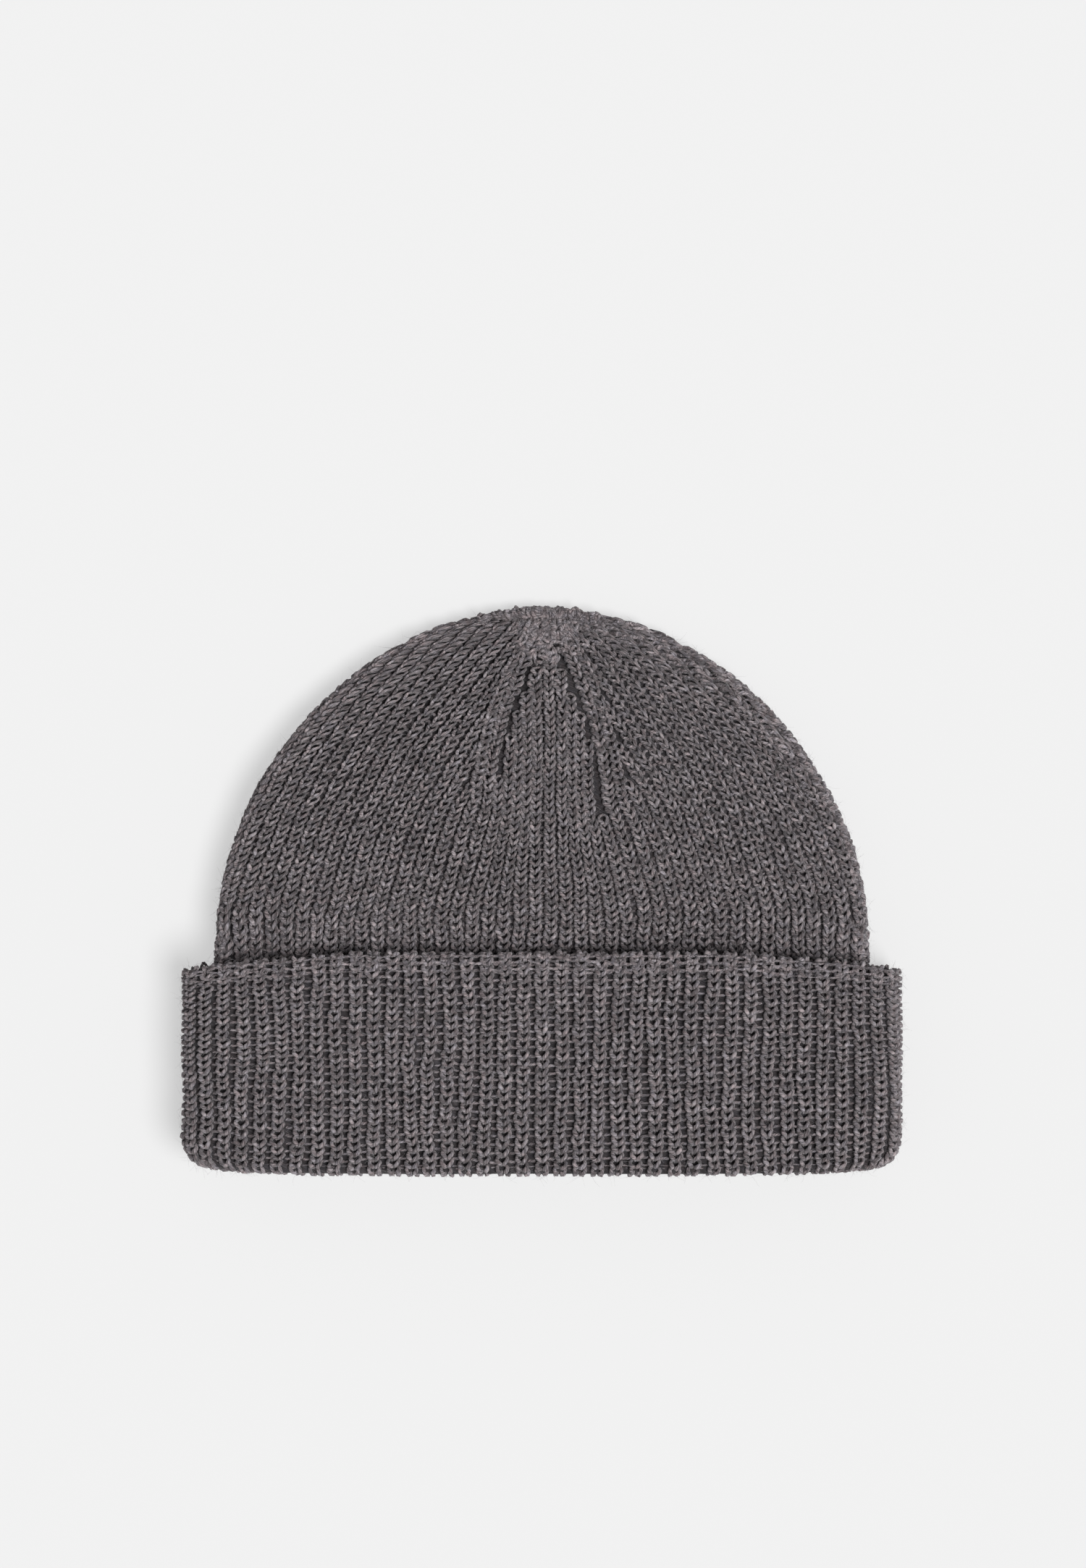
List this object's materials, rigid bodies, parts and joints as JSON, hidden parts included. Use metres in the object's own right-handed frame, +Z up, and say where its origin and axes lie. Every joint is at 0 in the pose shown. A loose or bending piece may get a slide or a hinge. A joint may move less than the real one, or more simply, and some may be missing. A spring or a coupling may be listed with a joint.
{
  "type": "knit beanie",
  "caption": "Ribbed knit beanie with a turned-up cuff and a darted crown, lying flat on its back; the cuff slides down.",
  "frame": {"origin": "under the middle of the hat's box, on the surface that it lies on", "axes": "+X across the hat's width, +Y from the mouth to the crown, +Z up out of the hat's front"},
  "size_m": [0.2252, 0.1794, 0.036],
  "materials": {
    "knit_wool": "ribbed melange wool knit",
    "cuff_wool": "ribbed melange wool knit, turned up",
    "seam_yarn": "linked wool yarn",
    "label_satin": "woven satin, blank",
    "label_thread": "polyester sewing thread"
  },
  "bodies": {
    "hat": {"knit_body": "knit_wool", "back_seam": "seam_yarn", "dart_seam_front_left": "seam_yarn", "dart_seam_front_right": "seam_yarn", "dart_seam_back_left": "seam_yarn", "dart_seam_back_right": "seam_yarn", "crown_draw_ring": "seam_yarn", "crown_knot": "seam_yarn", "label_stitches": "label_thread"},
    "cuff": {"cuff_band": "cuff_wool", "cuff_seam": "seam_yarn"},
    "label": {"care_label": "label_satin"}
  },
  "joints": [
    {"name": "cuff_turn_down", "type": "slide", "parent": "hat", "child": "cuff", "axis": [0, -1, 0], "range_m": [0, 0.062]},
    {"name": "care_label_flip", "type": "hinge", "parent": "hat", "child": "label", "pos_m": [0.0029, 0.0118, 0.0055], "axis": [0, -1, 0], "range_deg": [0, 18]}
  ]
}
